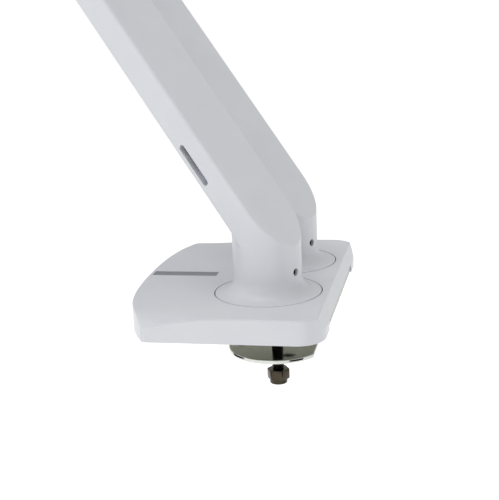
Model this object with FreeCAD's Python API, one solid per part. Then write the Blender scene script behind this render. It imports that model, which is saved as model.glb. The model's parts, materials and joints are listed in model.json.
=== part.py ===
# Dual monitor arm on a through-desk clamp. Millimetres, +Z up, -Y towards the person.
# Origin: middle of the base's footprint, on the desk top.
import FreeCAD, Part
import math
import os

from FreeCAD import Placement, Rotation, Vector

# ---- clearances -------------------------------------------------------------
RUN = 0.05            # radial gap of a shaft that turns in its bore
SEAT = 0.02           # radial gap of a pin seated in its own body
AIR = 0.4             # gap between faces that pass each other
GAP = 0.2             # gap between faces and holes of fixed parts
THRUST_GAP = 0.3      # axial gap of a part that turns on another
END_GAP = 0.6         # room beyond a shaft's end
BED = 1.0             # how far a joined piece reaches into its neighbour
PAST = 5.0            # how far a cutting tool reaches past the piece
FAR = 500.0           # longer than any piece
TOUCH = 0.01          # two places closer than this are the same

# ---- base -------------------------------------------------------------------
BASE_TOP = 20.0
BASE_HALF_WIDTH = 117.6
COLUMN_Y = 30.0       # line of the two columns, behind the middle of the footprint
COLUMN_SPACING = 89.3
REAR_Y = COLUMN_Y + 52.2
REAR_TOP_Y = COLUMN_Y + 47.7
REAR_SLOPE_Z = 8.0    # the rear wall leans in above this height
REAR_CORNER_R = 21.0
FRONT_PLAN = (        # half of the bowed front edge: sideways and front places, and one past the side
    (0.0, -79.3),
    (33.0, -78.3),
    (49.0, -77.0),
    (63.0, -75.0),
    (75.0, -72.6),
    (87.0, -69.0),
    (99.0, -64.2),
    (108.0, -59.6),
    (117.6, -53.6),
    (130.0, -44.5),
)
FRONT_CORNER_R = 5.0
CROWN_START_Y = COLUMN_Y - 10.0   # the top is flat behind this line
CROWN_START_X = 97.0  # and between these two
CROWN_FALL = 1.55e-3  # fall at the sides in mm per mm squared ahead of the line
TOP_EDGE_R = 1.2
COVER_WALL = 5.0
COVER_ROOF = 4.0
COVER_LIFT = 0.5      # the cover hangs just clear of the desk
REAR_CUT_HALF = 78.0
REAR_CUT_TOP = 8.0
PAD_T = 1.5
PLATE_T = 4.0
PLATE_TOP = PAD_T + PLATE_T
PAD_INSET = 9.0
POCKET_R = 42.8
POCKET_WALL = 3.0
SCREW_R = 2.0
SCREW_HEAD_R = 3.8
SCREW_HEAD_T = 2.0
COVER_SCREW_TIP = 12.2
COVER_SCREW_SPOTS = ((-100, 60), (100, 60), (-100, -30), (100, -30), (0, -52))
BOSS_WALL = 3.0
SOCKET_SHARE = 0.6    # depth of a screw's socket as a share of its head
SOCKET_GIRTH = 1.3    # socket across flats as a share of the shank's radius
REAR_CUT_DEPTH = 12.0
HEAD_ROOM = 1.5       # room round the rod's head inside the cover
TONGUE_IN = 20.0      # the load plate's rear tongue, inside and behind
TONGUE_BACK = 1.0
PAD_SCREW_HOLE_R = 5.0
PAD_SPINDLE_HOLE_R = 8.0
PAD_ROD_HOLE_R = 12.0
MIN_CORNER_R = 1.0
GRID_X = 150.0
GRID_HALF_XS = (0.0, 30.0, 60.0, 85.0, 94.0, 100.0, 106.0, 112.0, 118.0, 126.0, 137.0, GRID_X)
GRID_STEP_Y = 10.0
GRID_FRONT = -110.0
GRID_COUNT_Y = 22
STRIP_W = 12.0
STRIP_REAR_Y = COLUMN_Y - 51.0
STRIP_FRONT_Y = COLUMN_Y - 106.0
STRIP_SINK = 0.4
STRIP_T = 1.6

# ---- through-desk clamp -------------------------------------------------------
CLAMP_Y = COLUMN_Y - 2.5
ROD_R = 5.0
ROD_END = -74.6
HEAD_AF = 17.0
BOLT_HEAD_T = 4.8
BOLT_WASHER_R = 10.0
BOLT_WASHER_T = 1.0
DISC_R = 40.8
DISC_TOP = -40.0
DISC_T = 3.6
DISC_FLAT = 34.0      # distance of the straight edge from the disc's axis
DISC_EDGE_R = 0.8
HUB_R = 9.0
HUB_T = 8.0
NUT_TOP = -62.0
NUT_BOTTOM = -71.0
NUT_ROUND = 0.3       # how much the hexagon's corners are turned down
NUT_CHAMFER = 1.0
LOCK_R = 7.5
LOCK_CHAMFER = 0.8

# ---- lower arms ---------------------------------------------------------------
LOWER_HEADING = -116.0    # degrees from +X, where both lower arms point at rest
ARM_RISE = 49.7           # degrees above the desk
ARM_HALF_W = 27.0
SLAB_LOW = 22.2           # underside and top of the slab, square to its length
SLAB_HIGH = 47.2
REACH = 185.0             # column axis to elbow axis, level
FLANGE_R = 42.0
FLANGE_LOW = 12.0
FOOT_FILLET = 13.0
EDGE_R = 2.2
HUB_TOP = 322.0
SPINDLE_R = 12.0
SPINDLE_TOP = 50.0
SPINDLE_SCREW_R = 4.0
SPINDLE_SCREW_HEAD_R = 6.6
SPINDLE_SCREW_HEAD_T = 2.4
SPINDLE_SCREW_TIP = 22.0
GROOVE_DEPTH = 1.4
GROOVE_HALF = 3.6
SET_SCREW_Z = BASE_TOP + 19.0
SET_SCREW_R = 2.6
SET_SCREW_HOLE_R = 3.0
SET_SCREW_DEPTH = 2.2     # how far the screw's outer end is sunk
SOCKET_R = 1.5
SOCKET_DEPTH = 2.5
HUB_START = BASE_TOP + 100.0
COLUMN_CUT = 200.0        # the column is cut by the slab's top below this height
THRUST_RING_R = 34.0
THRUST_RING_BORE = 1.0    # wider than the post
CHANNEL_START = 62.0
CHANNEL_END = 262.0
CHANNEL_HALF = 21.0
CHANNEL_ROOF = 43.2
COVER_START = 78.0
COVER_END = 246.0
COVER_T = 2.5
COVER_LIP_INSET = 2.0
LIP_T = 2.0
LIP_H = 2.5
UPPER_LIP_H = 3.0
UPPER_LIP_FRONT = 30.0
UPPER_LIP_BACK = 4.0
HOOK_END = 103.0
HOOK_HIGH = 31.4
SLOT_START = 88.7
SLOT_END = 127.0
SLOT_LOW = 26.8
SLOT_HIGH = 31.9

# ---- elbow and upper arm --------------------------------------------------------
UPPER_HEADINGS = {"near": -30.0, "far": -150.0}
ELBOW_POST_R = 10.0
ELBOW_POST_LOW = 290.0
ELBOW_SCREW_Z = 306.0
TURNTABLE_R = 26.5
TURNTABLE_T = 6.0
PIVOT_Z = 375.0
UPPER_LENGTH = 230.0
UPPER_HALF_W = 25.0
UPPER_HALF_H = 22.0
UPPER_WALL = 4.0
CHEEK_IN = 6.0
CHEEK_OUT = 16.0
ELBOW_CHEEK_R = 17.0
WRIST_CHEEK_R = 15.0
NECK_HALF = 14.0
UPPER_OPEN_TOP = 3.0      # the arm's underside is open up to this above the pivots
UPPER_OPEN_FRONT = 2.0    # the front opening starts this far behind the front pivot
PIVOT_PIN_SINK = 0.5
PIVOT_R = 4.0
LINK_PIN_R = 2.5
LINK_DROP = 12.0
LINK_HALF_T = 4.0
LINK_EYE_R = 5.5
LINK_HALF_H = 3.5
UPPER_COVER_START = 36.0
UPPER_COVER_END = 226.0
SPRING_PIN_R = 2.5
SPRING_ARM = 9.5
SPRING_AXIS = 9.3
SPRING_R = 8.0
SPRING_START = 46.0
SPRING_END = 190.0
ROD_SPRING_R = 3.0
ROD_SPRING_DEPTH = 60.0
SPRING_END_R = 1.5
SPRING_BORE_PAST = 16.0   # the barrel's bore is this much deeper than the rod at rest
YOKE_HALF = 5.5
YOKE_LOW = 4.6
YOKE_HIGH = 13.6
YOKE_SLOT_HALF = 3.0
YOKE_SLOT_TOP = 12.3
LINK_SLOT_DEPTH = 30.0
ANCHOR_L = 14.0
ANCHOR_LOW = 4.0
ANCHOR_HIGH = 17.5
TENSION_R = 3.0
TENSION_HEAD_R = 5.0
TENSION_LOW = 6.0
TENSION_SINK = 0.6
TENSION_HEAD_T = 3.8
TENSION_SOCKET = 3.0

# ---- wrist and head -----------------------------------------------------------
PAN_OUT = 46.0            # wrist pivot to the upright pan axis
WRIST_NECK_HALF = 13.0
WRIST_SLOT = 18.0
YOKE_GAP = 0.5
PAN_PIN_PROUD = 1.5
PAN_CHAMFER = 0.8
TILT_HEAD_T = 5.0
TILT_SOCKET_T = 3.0
TILT_NUT_AF = 15.0
BARREL_R = 16.0
BARREL_HALF = 18.0
PAN_R = 7.0
EAR_T = 5.5
YOKE_WEB_IN = 20.0
YOKE_WEB_OUT = 26.0
YOKE_HALF_W = 15.0
TILT_OUT = 41.0
LUG_R = 11.0
LUG_HALF = 8.0
TILT_EAR_OUT = 14.0
TILT_R = 5.0
TILT_HEAD_R = 8.5
HEAD_DISC_IN = 54.0
HEAD_DISC_OUT = 58.0
HEAD_DISC_R = 24.0
HEAD_SPINDLE_R = 10.0
HEAD_SPINDLE_END = 64.0
DRUM_R = 33.0
DRUM_IN = 58.6
DRUM_FLOOR = 61.5
DRUM_POCKET_R = 24.0
RETAINER_R = 18.0
VESA_FACE = 68.0
VESA_T = 3.0
VESA_HALF = 60.0
VESA_CORNER_R = 6.0
VESA_HOLE_R = 2.25
VESA_PATTERNS = (75.0, 100.0)
HEAD_HEADING = -90.0

SIDES = {"near": 1.0, "far": -1.0}
X_AXIS = Vector(1, 0, 0)
Y_AXIS = Vector(0, 1, 0)
Z_AXIS = Vector(0, 0, 1)


# ---- small makers ---------------------------------------------------------------
def block(x0, x1, y0, y1, z0, z1):
    """A box between two corners."""
    return Part.makeBox(x1 - x0, y1 - y0, z1 - z0, Vector(x0, y0, z0))


def upright(radius, z0, z1, x=0.0, y=0.0):
    """A cylinder standing between two heights."""
    return Part.makeCylinder(radius, z1 - z0, Vector(x, y, z0), Z_AXIS)


def crossways(radius, y0, y1, x, z):
    """A cylinder lying along Y."""
    return Part.makeCylinder(radius, y1 - y0, Vector(x, y0, z), Y_AXIS)


def lengthways(radius, x0, x1, z, y=0.0):
    """A cylinder lying along X."""
    return Part.makeCylinder(radius, x1 - x0, Vector(x0, y, z), X_AXIS)


def hexagon(across_flats, z0, z1, x=0.0, y=0.0):
    """A standing hexagonal prism."""
    radius = across_flats / math.sqrt(3)
    turns = [math.radians(60 * k) for k in range(7)]
    corners = [Vector(x + radius * math.cos(t), y + radius * math.sin(t), z0) for t in turns]
    return Part.Face(Part.makePolygon(corners)).extrude(Vector(0, 0, z1 - z0))


def turned(shape, x, y, heading):
    """A shape made about its own axis, set at a place and pointed along a heading."""
    placed = shape.copy()
    placed.Placement = Placement(Vector(x, y, 0), Rotation(Z_AXIS, heading)).multiply(shape.Placement)
    return placed


def joined(shapes):
    """One clean solid out of pieces that meet."""
    first, rest = shapes[0], shapes[1:]
    return first.fuse(rest).removeSplitter()


def export(shape, node):
    """Write one node; touching pieces of one node stay separate solids."""
    shape.exportStep("parts/" + node + ".step")


# ---- base -----------------------------------------------------------------------
def front_points(inset, z):
    """Points of the bowed front edge from left to right, moved inwards by an inset."""
    right = [Vector(x, y, z) for x, y in FRONT_PLAN]
    left = [Vector(-p.x, p.y, z) for p in reversed(right[1:])]
    row = left + right
    moved = []
    for k, point in enumerate(row):
        along = (row[min(k + 1, len(row) - 1)] - row[max(k - 1, 0)]).normalize()
        moved.append(point + Z_AXIS.cross(along) * inset)
    return moved


def base_outline(inset, z0, z1):
    """A prism on the base's plan, pulled in by an inset."""
    half = BASE_HALF_WIDTH - inset
    rear = REAR_Y - inset
    points = front_points(inset, z0)
    bow = Part.BSplineCurve()
    bow.interpolate(points)
    left, right = points[0], points[-1]
    edges = [
        bow.toShape(),
        Part.makeLine(right, Vector(right.x, rear, z0)),
        Part.makeLine(Vector(right.x, rear, z0), Vector(left.x, rear, z0)),
        Part.makeLine(Vector(left.x, rear, z0), left),
    ]
    solid = Part.Face(Part.Wire(edges)).extrude(Vector(0, 0, z1 - z0))
    solid = solid.common(block(-half, half, -FAR, FAR, z0 - PAST, z1 + PAST))
    rear_corners = [e for e in solid.Edges if is_upright_at(e, rear)]
    solid = solid.makeFillet(REAR_CORNER_R - inset, rear_corners)
    front_corners = [e for e in solid.Edges if is_front_corner(e, half)]
    return solid.makeFillet(max(FRONT_CORNER_R - inset, MIN_CORNER_R), front_corners)


def is_front_corner(edge, half):
    """True for the vertical edge where the bowed front meets a side."""
    box = edge.BoundBox
    straight = box.ZLength > 1 and box.XLength < TOUCH and box.YLength < TOUCH
    return straight and abs(abs(box.Center.x) - half) < TOUCH and box.Center.y < 0


def is_upright_at(edge, y):
    """True for a vertical straight edge at one Y."""
    box = edge.BoundBox
    return box.ZLength > 1 and box.XLength < TOUCH and box.YLength < TOUCH and abs(box.Center.y - y) < TOUCH


def top_height(x, y):
    """Height of the crowned top over a place on the plan."""
    ahead = max(CROWN_START_Y - y, 0.0)
    aside = max(abs(x) - CROWN_START_X, 0.0) / (BASE_HALF_WIDTH - CROWN_START_X)
    return BASE_TOP - CROWN_FALL * ahead ** 2 * aside ** 2


def under_the_top(lower):
    """Everything below the crowned top, lowered by some depth."""
    xs = [-x for x in reversed(GRID_HALF_XS[1:])] + list(GRID_HALF_XS)
    ys = [GRID_STEP_Y * j + GRID_FRONT for j in range(GRID_COUNT_Y)]
    grid = [[Vector(x, y, top_height(x, y) - lower) for y in ys] for x in xs]
    surface = Part.BSplineSurface()
    surface.interpolate(grid)
    return surface.toShape().extrude(Vector(0, 0, -3 * BASE_TOP))


def behind_the_slope():
    """The wedge that the leaning rear wall leaves out."""
    lean = (REAR_Y - REAR_TOP_Y) / (BASE_TOP - REAR_SLOPE_Z)
    high = 2 * BASE_TOP
    back = REAR_Y + BASE_TOP
    corners = [
        Vector(-GRID_X, REAR_Y, REAR_SLOPE_Z),
        Vector(-GRID_X, REAR_Y - lean * (high - REAR_SLOPE_Z), high),
        Vector(-GRID_X, back, high),
        Vector(-GRID_X, back, REAR_SLOPE_Z),
        Vector(-GRID_X, REAR_Y, REAR_SLOPE_Z),
    ]
    return Part.Face(Part.makePolygon(corners)).extrude(Vector(2 * GRID_X, 0, 0))


def both_columns(make):
    """A piece repeated at each column."""
    return [make(side * COLUMN_SPACING / 2, COLUMN_Y) for side in SIDES.values()]


def screw_bosses():
    """The cover's bosses for its screws."""
    return [upright(SCREW_R + BOSS_WALL, PLATE_TOP + GAP, BASE_TOP, x, y) for x, y in COVER_SCREW_SPOTS]


def base_cover():
    """The cast cover: crowned top, leaning rear, pockets for the arms' turning feet."""
    body = base_outline(0, COVER_LIFT, BASE_TOP + PAST)
    body = body.common(under_the_top(0)).cut(behind_the_slope())
    body = body.makeFillet(TOP_EDGE_R, rim_edges(body))
    inner = base_outline(COVER_WALL, -PAST, BASE_TOP + PAST)
    roof_room = inner.common(under_the_top(COVER_ROOF))
    rim_r = POCKET_R + POCKET_WALL
    kept = both_columns(lambda x, y: upright(rim_r, PLATE_TOP + GAP, BASE_TOP + PAST, x, y))
    body = body.cut(roof_room.cut(kept + screw_bosses()))
    pockets = both_columns(lambda x, y: upright(POCKET_R, -PAST, BASE_TOP + PAST, x, y))
    bores = [upright(SCREW_R + SEAT, 0, COVER_SCREW_TIP + GAP, x, y) for x, y in COVER_SCREW_SPOTS]
    rear = block(-REAR_CUT_HALF, REAR_CUT_HALF, REAR_Y - REAR_CUT_DEPTH, REAR_Y + PAST, -PAST, REAR_CUT_TOP)
    head_room = upright(BOLT_WASHER_R + HEAD_ROOM, 0, BASE_TOP - COVER_ROOF, 0, CLAMP_Y)
    return body.cut(pockets + bores + [rear, head_room, strip_recess()])


def rim_edges(body):
    """The edges that run round the top of the cover."""
    return [e for e in body.Edges if is_rim(e)]


def is_rim(edge):
    """True for an edge lying on the crowned top surface."""
    ends = [edge.valueAt(edge.FirstParameter + k * (edge.LastParameter - edge.FirstParameter) / 4)
            for k in range(5)]
    return all(abs(p.z - top_height(p.x, p.y)) < 0.05 for p in ends)


def strip_bed(half, rear, front, lower, thick):
    """A thin bar that follows the crowned top."""
    bar = block(-half, half, front, rear, 0, BASE_TOP + PAST)
    return bar.common(under_the_top(lower)).cut(under_the_top(lower + thick))


def strip_recess():
    """The shallow recess for the front strip."""
    return strip_bed(STRIP_W / 2, STRIP_REAR_Y, STRIP_FRONT_Y, -PAST, STRIP_SINK + STRIP_T + PAST)


def front_strip():
    """The grey inlay, sunk a little below the top."""
    half = STRIP_W / 2 - SEAT
    return strip_bed(half, STRIP_REAR_Y - SEAT, STRIP_FRONT_Y + SEAT, STRIP_SINK, STRIP_T - SEAT)


def base_plate():
    """The steel plate that carries the load; its rear edge shows in the cover's cut-out."""
    body = base_outline(COVER_WALL + AIR, PAD_T, PLATE_TOP)
    tongue_half = REAR_CUT_HALF - AIR
    tongue = block(-tongue_half, tongue_half, REAR_Y - TONGUE_IN, REAR_Y - TONGUE_BACK, PAD_T, PLATE_TOP)
    body = joined([body, tongue])
    head_top = PAD_T + SCREW_HEAD_T + THRUST_GAP
    holes = [upright(SCREW_R + GAP, 0, BASE_TOP, x, y) for x, y in COVER_SCREW_SPOTS]
    holes += [upright(SCREW_HEAD_R + GAP, 0, head_top, x, y) for x, y in COVER_SCREW_SPOTS]
    holes += both_columns(lambda x, y: upright(SPINDLE_SCREW_R + GAP, 0, BASE_TOP, x, y))
    holes += both_columns(spindle_screw_sink)
    return body.cut(holes + [upright(ROD_R + RUN, 0, BASE_TOP, 0, CLAMP_Y)])


def spindle_screw_sink(x, y):
    """The counterbore for one post's screw."""
    return upright(SPINDLE_SCREW_HEAD_R + AIR, 0, PAD_T + SPINDLE_SCREW_HEAD_T + GAP, x, y)


def foot_pad():
    """The soft pad on the desk."""
    holes = [upright(PAD_SCREW_HOLE_R, -PAST, PAST, x, y) for x, y in COVER_SCREW_SPOTS]
    holes += both_columns(lambda x, y: upright(PAD_SPINDLE_HOLE_R, -PAST, PAST, x, y))
    holes.append(upright(PAD_ROD_HOLE_R, -PAST, PAST, 0, CLAMP_Y))
    return base_outline(PAD_INSET, 0, PAD_T).cut(holes)


def cap_screw(x, y, shank_r, head_r, head_t, z0, z1):
    """A screw driven upwards, with a hexagon socket in its head."""
    body = joined([upright(shank_r, z0, z1, x, y), upright(head_r, z0, z0 + head_t, x, y)])
    return body.cut(hexagon(shank_r * SOCKET_GIRTH, z0 - BED, z0 + head_t * SOCKET_SHARE, x, y))


def cover_screws():
    """Screws that pull the cover onto the plate."""
    z0 = PAD_T + GAP
    sizes = (SCREW_R, SCREW_HEAD_R, SCREW_HEAD_T, z0, COVER_SCREW_TIP)
    return Part.makeCompound([cap_screw(x, y, *sizes) for x, y in COVER_SCREW_SPOTS])


def spindle_screws():
    """Screws that hold the two spindles to the plate."""
    z0 = PAD_T + GAP / 2
    sizes = (SPINDLE_SCREW_R, SPINDLE_SCREW_HEAD_R, SPINDLE_SCREW_HEAD_T, z0, SPINDLE_SCREW_TIP)
    return Part.makeCompound(both_columns(lambda x, y: cap_screw(x, y, *sizes)))


def spindles():
    """The two fixed steel posts the arms turn on."""
    return Part.makeCompound(both_columns(spindle))


def spindle(x, y):
    """One post, grooved for its arm's set screw."""
    post = upright(SPINDLE_R, PLATE_TOP, SPINDLE_TOP, x, y)
    groove = upright(SPINDLE_R + PAST, SET_SCREW_Z - GROOVE_HALF, SET_SCREW_Z + GROOVE_HALF, x, y)
    groove = groove.cut(upright(SPINDLE_R - GROOVE_DEPTH, 0, SPINDLE_TOP, x, y))
    return post.cut([groove, upright(SPINDLE_SCREW_R + SEAT, 0, SPINDLE_SCREW_TIP + AIR, x, y)])


def thrust_rings():
    """The slippery rings under the arms' feet."""
    return Part.makeCompound(both_columns(thrust_ring))


def thrust_ring(x, y):
    """One ring, lying on the plate."""
    ring = upright(THRUST_RING_R, PLATE_TOP, FLANGE_LOW - THRUST_GAP, x, y)
    return ring.cut(upright(SPINDLE_R + THRUST_RING_BORE, 0, BASE_TOP, x, y))


# ---- clamp ----------------------------------------------------------------------
def clamp_rod():
    """The threaded rod; its head sits on the plate and its body hangs through the desk."""
    head_low = PLATE_TOP + BOLT_WASHER_T + THRUST_GAP
    shank = upright(ROD_R, ROD_END, head_low + BED, 0, CLAMP_Y)
    return joined([shank, hexagon(HEAD_AF, head_low, head_low + BOLT_HEAD_T, 0, CLAMP_Y)])


def rod_washer():
    """The hard washer under the rod's head."""
    ring = upright(BOLT_WASHER_R, PLATE_TOP, PLATE_TOP + BOLT_WASHER_T, 0, CLAMP_Y)
    return ring.cut(upright(ROD_R + RUN, 0, BASE_TOP, 0, CLAMP_Y))


def clamp_disc():
    """The big disc that grips the desk from below, with a threaded hub and one straight edge."""
    disc = upright(DISC_R, DISC_TOP - DISC_T, DISC_TOP, 0, CLAMP_Y)
    disc = disc.cut(block(-DISC_R, DISC_R, CLAMP_Y + DISC_FLAT, CLAMP_Y + 2 * DISC_R, 2 * DISC_TOP, 0))
    disc = disc.makeFillet(DISC_EDGE_R, level_edges(disc))
    hub = upright(HUB_R, DISC_TOP - DISC_T - HUB_T, DISC_TOP - BED, 0, CLAMP_Y)
    return joined([disc, hub]).cut(upright(ROD_R + RUN, 2 * DISC_TOP, 0, 0, CLAMP_Y))


def level_edges(shape):
    """The edges that lie flat."""
    return [e for e in shape.Edges if e.BoundBox.ZLength < TOUCH]


def drive_nut():
    """The hexagon locked on the rod's lower end, where the spanner goes."""
    nut = hexagon(HEAD_AF, NUT_BOTTOM, NUT_TOP, 0, CLAMP_Y)
    ring = upright(HEAD_AF / math.sqrt(3) - NUT_ROUND, NUT_BOTTOM, NUT_TOP, 0, CLAMP_Y)
    ring = ring.makeChamfer(NUT_CHAMFER, level_edges(ring))
    return nut.common(ring).cut(upright(ROD_R + SEAT, 2 * DISC_TOP, 0, 0, CLAMP_Y))


def locking_ring():
    """The round locking end of the nut."""
    ring = upright(LOCK_R, ROD_END, NUT_BOTTOM, 0, CLAMP_Y)
    ring = ring.makeChamfer(LOCK_CHAMFER, [e for e in ring.Edges if e.BoundBox.ZMax < ROD_END + TOUCH])
    return ring.cut(upright(ROD_R + SEAT, 2 * DISC_TOP, 0, 0, CLAMP_Y))


# ---- lower arm, made with its column on Z and pointing along +X --------------------
def along_arm(s0, s1, half_width, n0, n1):
    """A box in the slab's own directions: along it, across it and square to it."""
    bar = block(s0, s1, -half_width, half_width, n0, n1)
    bar.Placement = Placement(Vector(0, 0, BASE_TOP), Rotation(Y_AXIS, -ARM_RISE))
    return bar


def arm_shell():
    """Column, rising slab and elbow hub with soft edges, before the hollows."""
    wide = 2 * ARM_HALF_W
    slab = along_arm(-FAR, FAR, ARM_HALF_W, SLAB_LOW, SLAB_HIGH).common(block(0, REACH, -wide, wide, 0, FAR))
    column = upright(ARM_HALF_W, FLANGE_LOW, COLUMN_CUT).common(along_arm(-FAR, FAR, wide, -FAR, SLAB_HIGH))
    hub = upright(ARM_HALF_W, HUB_START, HUB_TOP, REACH)
    hub = hub.common(along_arm(-FAR, FAR, wide, SLAB_LOW, FAR))
    body = joined([column, slab, hub])
    turn = Placement(Vector(0, 0, BASE_TOP), Rotation(Y_AXIS, -ARM_RISE)).inverse()
    edges = [e for e in body.Edges if lies_at(e, turn, SLAB_LOW) or lies_at(e, turn, SLAB_HIGH)]
    return body.makeFillet(EDGE_R, edges)


def lies_at(edge, turn, height):
    """True for an edge that stays at one height of a turned frame."""
    span = edge.LastParameter - edge.FirstParameter
    spots = [turn.multVec(edge.valueAt(edge.FirstParameter + k * span / 4)) for k in range(5)]
    return all(abs(p.z - height) < TOUCH for p in spots)


def foot():
    """The round turning foot with its soft rise into the column."""
    plate = upright(FLANGE_R, FLANGE_LOW, BASE_TOP)
    r = FOOT_FILLET
    inner = ARM_HALF_W
    corner = Vector(inner + r, 0, BASE_TOP + r)
    mid = Vector(corner.x - r * math.cos(math.pi / 4), 0, corner.z - r * math.sin(math.pi / 4))
    low = Vector(inner + r, 0, BASE_TOP)
    high = Vector(inner, 0, BASE_TOP + r)
    edges = [
        Part.Arc(high, mid, low).toShape(),
        Part.makeLine(low, Vector(inner - PAST, 0, BASE_TOP)),
        Part.makeLine(Vector(inner - PAST, 0, BASE_TOP), Vector(inner - PAST, 0, BASE_TOP + r)),
        Part.makeLine(Vector(inner - PAST, 0, BASE_TOP + r), high),
    ]
    skirt = Part.Face(Part.Wire(edges)).revolve(Vector(0, 0, 0), Z_AXIS, 360)
    return [plate, skirt]


def latch_slot():
    """The round-ended slot in the slab's side where the cover's hook shows."""
    mid = (SLOT_LOW + SLOT_HIGH) / 2
    r = (SLOT_HIGH - SLOT_LOW) / 2
    y0 = CHANNEL_HALF - BED
    y1 = ARM_HALF_W + PAST
    parts = [
        block(SLOT_START + r, SLOT_END - r, y0, y1, SLOT_LOW, SLOT_HIGH),
        crossways(r, y0, y1, SLOT_START + r, mid),
        crossways(r, y0, y1, SLOT_END - r, mid),
    ]
    slot = joined(parts)
    slot.Placement = Placement(Vector(0, 0, BASE_TOP), Rotation(Y_AXIS, -ARM_RISE))
    return slot


def lower_arm():
    """The cast lower arm: foot, column, hollow slab and elbow hub."""
    body = joined([arm_shell()] + foot())
    hollows = [
        along_arm(CHANNEL_START, CHANNEL_END, CHANNEL_HALF, SLAB_LOW - PAST, CHANNEL_ROOF),
        latch_slot(),
        upright(SPINDLE_R + RUN, 0, SPINDLE_TOP + END_GAP),
        lengthways(SET_SCREW_HOLE_R, -ARM_HALF_W - PAST, 0, SET_SCREW_Z),
        upright(ELBOW_POST_R + RUN, ELBOW_POST_LOW - END_GAP, FAR, REACH),
        lengthways(SET_SCREW_HOLE_R, REACH, REACH + ARM_HALF_W + PAST, ELBOW_SCREW_Z),
    ]
    return body.cut(hollows)


def set_screw(tip_r, rim_r, z):
    """A socket set screw lying along +X, its tip in the post's groove."""
    outer = rim_r - SET_SCREW_DEPTH
    body = lengthways(SET_SCREW_R, tip_r, outer, z)
    socket = hexagon(SOCKET_R * 2, 0, SOCKET_DEPTH + BED)
    socket.Placement = Placement(Vector(outer + BED, 0, z), Rotation(Y_AXIS, -90))
    return body.cut(socket)


def set_screws():
    """One screw keeps the arm on its spindle, the other keeps the elbow's post in the hub."""
    low = set_screw(SPINDLE_R - GROOVE_DEPTH + AIR, ARM_HALF_W, SET_SCREW_Z)
    high = set_screw(ELBOW_POST_R - GROOVE_DEPTH + AIR, ARM_HALF_W, ELBOW_SCREW_Z)
    return Part.makeCompound([turned(low, 0, 0, 180), turned(high, REACH, 0, 0)])


def cable_cover():
    """The long cover under the slab, with lips and a snap hook at the slot."""
    half = CHANNEL_HALF - AIR
    lip_top = SLAB_LOW + COVER_T + LIP_H
    low = SLAB_LOW + BED
    start, end = COVER_START + COVER_LIP_INSET, COVER_END - COVER_LIP_INSET
    pieces = [along_arm(COVER_START, COVER_END, half, SLAB_LOW, SLAB_LOW + COVER_T)]
    lips = along_arm(start, end, half, low, lip_top)
    lips = lips.cut(along_arm(COVER_START, COVER_END, half - LIP_T, 0, FAR))
    hooks = along_arm(start, HOOK_END, half, low, HOOK_HIGH)
    hooks = hooks.cut(along_arm(COVER_START, COVER_END, half - LIP_T, 0, FAR))
    return joined(pieces + lips.Solids + hooks.Solids)


# ---- elbow, made with its post on Z and the upper arm along +X -----------------------
def elbow_post():
    """The steel post of the elbow, grooved for its set screw."""
    post = upright(ELBOW_POST_R, ELBOW_POST_LOW, HUB_TOP + AIR + TURNTABLE_T - BED)
    groove = upright(ELBOW_POST_R + PAST, ELBOW_SCREW_Z - GROOVE_HALF, ELBOW_SCREW_Z + GROOVE_HALF)
    return post.cut(groove.cut(upright(ELBOW_POST_R - GROOVE_DEPTH, 0, FAR)))


def elbow_bracket():
    """Turntable, neck and two cheeks that carry the upper arm's pivots."""
    table_low = HUB_TOP + AIR
    table_high = table_low + TURNTABLE_T
    table = upright(TURNTABLE_R, table_low, table_high)
    neck = block(-NECK_HALF, NECK_HALF, -CHEEK_OUT, CHEEK_OUT, table_high - BED, PIVOT_Z)
    round_top = crossways(ELBOW_CHEEK_R, -CHEEK_OUT, CHEEK_OUT, 0, PIVOT_Z)
    body = joined([table, neck, round_top])
    cuts = [
        block(-FAR, FAR, -CHEEK_IN, CHEEK_IN, PIVOT_Z - LINK_SLOT_DEPTH, FAR),
        upright(ELBOW_POST_R + SEAT, 0, table_high - BED),
        crossways(PIVOT_R + RUN, -FAR, FAR, 0, PIVOT_Z),
        crossways(LINK_PIN_R + SEAT, -FAR, FAR, 0, PIVOT_Z - LINK_DROP),
        crossways(SPRING_PIN_R + SEAT, -FAR, FAR, 0, PIVOT_Z + SPRING_ARM),
    ]
    return body.cut(cuts)


def elbow_pins():
    """The link's pin and the spring's pin, held in the elbow's cheeks."""
    link = crossways(LINK_PIN_R, -CHEEK_OUT, CHEEK_OUT, 0, PIVOT_Z - LINK_DROP)
    spring = crossways(SPRING_PIN_R, -CHEEK_OUT, CHEEK_OUT, 0, PIVOT_Z + SPRING_ARM)
    return Part.makeCompound([link, spring])


# ---- upper arm -------------------------------------------------------------------
def rounded_bar(radius, y0, y1, x0, x1):
    """A bar along X with round ends, seen from the side."""
    pieces = [
        block(x0, x1, y0, y1, PIVOT_Z - radius, PIVOT_Z + radius),
        crossways(radius, y0, y1, x0, PIVOT_Z),
        crossways(radius, y0, y1, x1, PIVOT_Z),
    ]
    return joined(pieces)


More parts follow.
